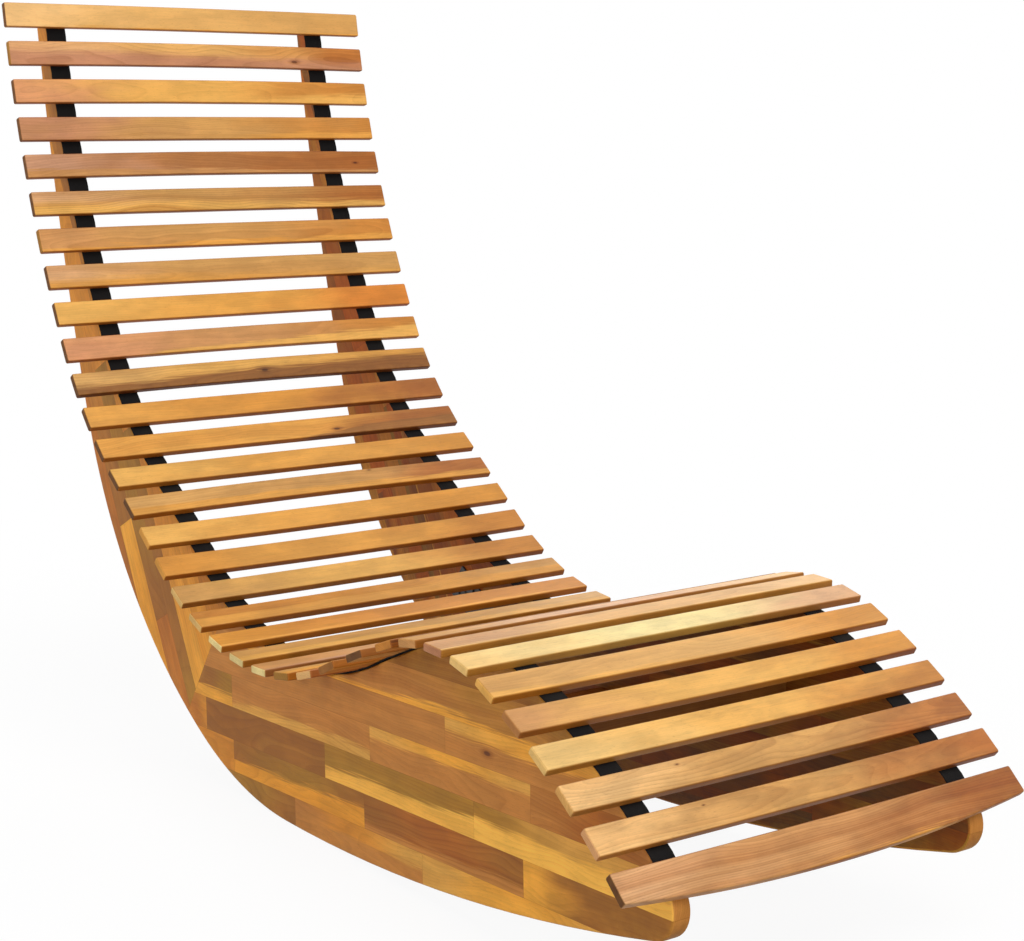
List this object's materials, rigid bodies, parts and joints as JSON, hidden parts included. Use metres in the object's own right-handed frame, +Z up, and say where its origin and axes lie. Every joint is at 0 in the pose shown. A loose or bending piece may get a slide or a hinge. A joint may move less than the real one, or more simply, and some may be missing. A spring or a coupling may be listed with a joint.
{
  "type": "rocking chaise lounge",
  "caption": "Reclining rocking lounge: spaced wooden slats follow an S-curve on two webbing straps, carried by two deep laminated side rockers that touch the floor along a curved edge.",
  "frame": {"origin": "on the floor, under the middle of the outside dimensions, with the rocker standing at rest", "axes": "+X from the head end to the foot end, +Y to the left of a person lying in it, +Z up"},
  "size_m": [1.4833, 0.6, 1.0429],
  "materials": {
    "slat_wood": "satin",
    "rocker_wood": "satin",
    "rail_wood": "satin",
    "dowel_wood": "matte",
    "webbing": "matte",
    "black_steel": "matte",
    "brad_steel": "satin"
  },
  "bodies": {
    "root": {"slat_01": "slat_wood", "slat_02": "slat_wood", "slat_03": "slat_wood", "slat_04": "slat_wood", "slat_05": "slat_wood", "slat_06": "slat_wood", "slat_07": "slat_wood", "slat_08": "slat_wood", "slat_09": "slat_wood", "slat_10": "slat_wood", "slat_11": "slat_wood", "slat_12": "slat_wood", "slat_13": "slat_wood", "slat_14": "slat_wood", "slat_15": "slat_wood", "slat_16": "slat_wood", "slat_17": "slat_wood", "slat_18": "slat_wood", "slat_19": "slat_wood", "slat_20": "slat_wood", "slat_21": "slat_wood", "slat_22": "slat_wood", "slat_23": "slat_wood", "slat_24": "slat_wood", "slat_25": "slat_wood", "slat_26": "slat_wood", "slat_27": "slat_wood", "slat_28": "slat_wood", "slat_29": "slat_wood", "slat_30": "slat_wood", "slat_31": "slat_wood", "slat_32": "slat_wood", "slat_33": "slat_wood", "slat_34": "slat_wood", "slat_35": "slat_wood", "slat_36": "slat_wood", "rocker_arm_right": "rocker_wood", "rocker_base_right": "rocker_wood", "strap_right": "webbing", "corner_brackets_right": "black_steel", "splice_plates_right": "black_steel", "slat_brads_right": "brad_steel", "dowels_right": "dowel_wood", "bracket_screws_right": "black_steel", "splice_screws_right": "black_steel", "rocker_arm_left": "rocker_wood", "rocker_base_left": "rocker_wood", "strap_left": "webbing", "corner_brackets_left": "black_steel", "splice_plates_left": "black_steel", "slat_brads_left": "brad_steel", "dowels_left": "dowel_wood", "bracket_screws_left": "black_steel", "splice_screws_left": "black_steel", "cross_rail_head": "rail_wood", "cross_rail_seat": "rail_wood", "cross_rail_foot": "rail_wood"}
  },
  "joints": []
}
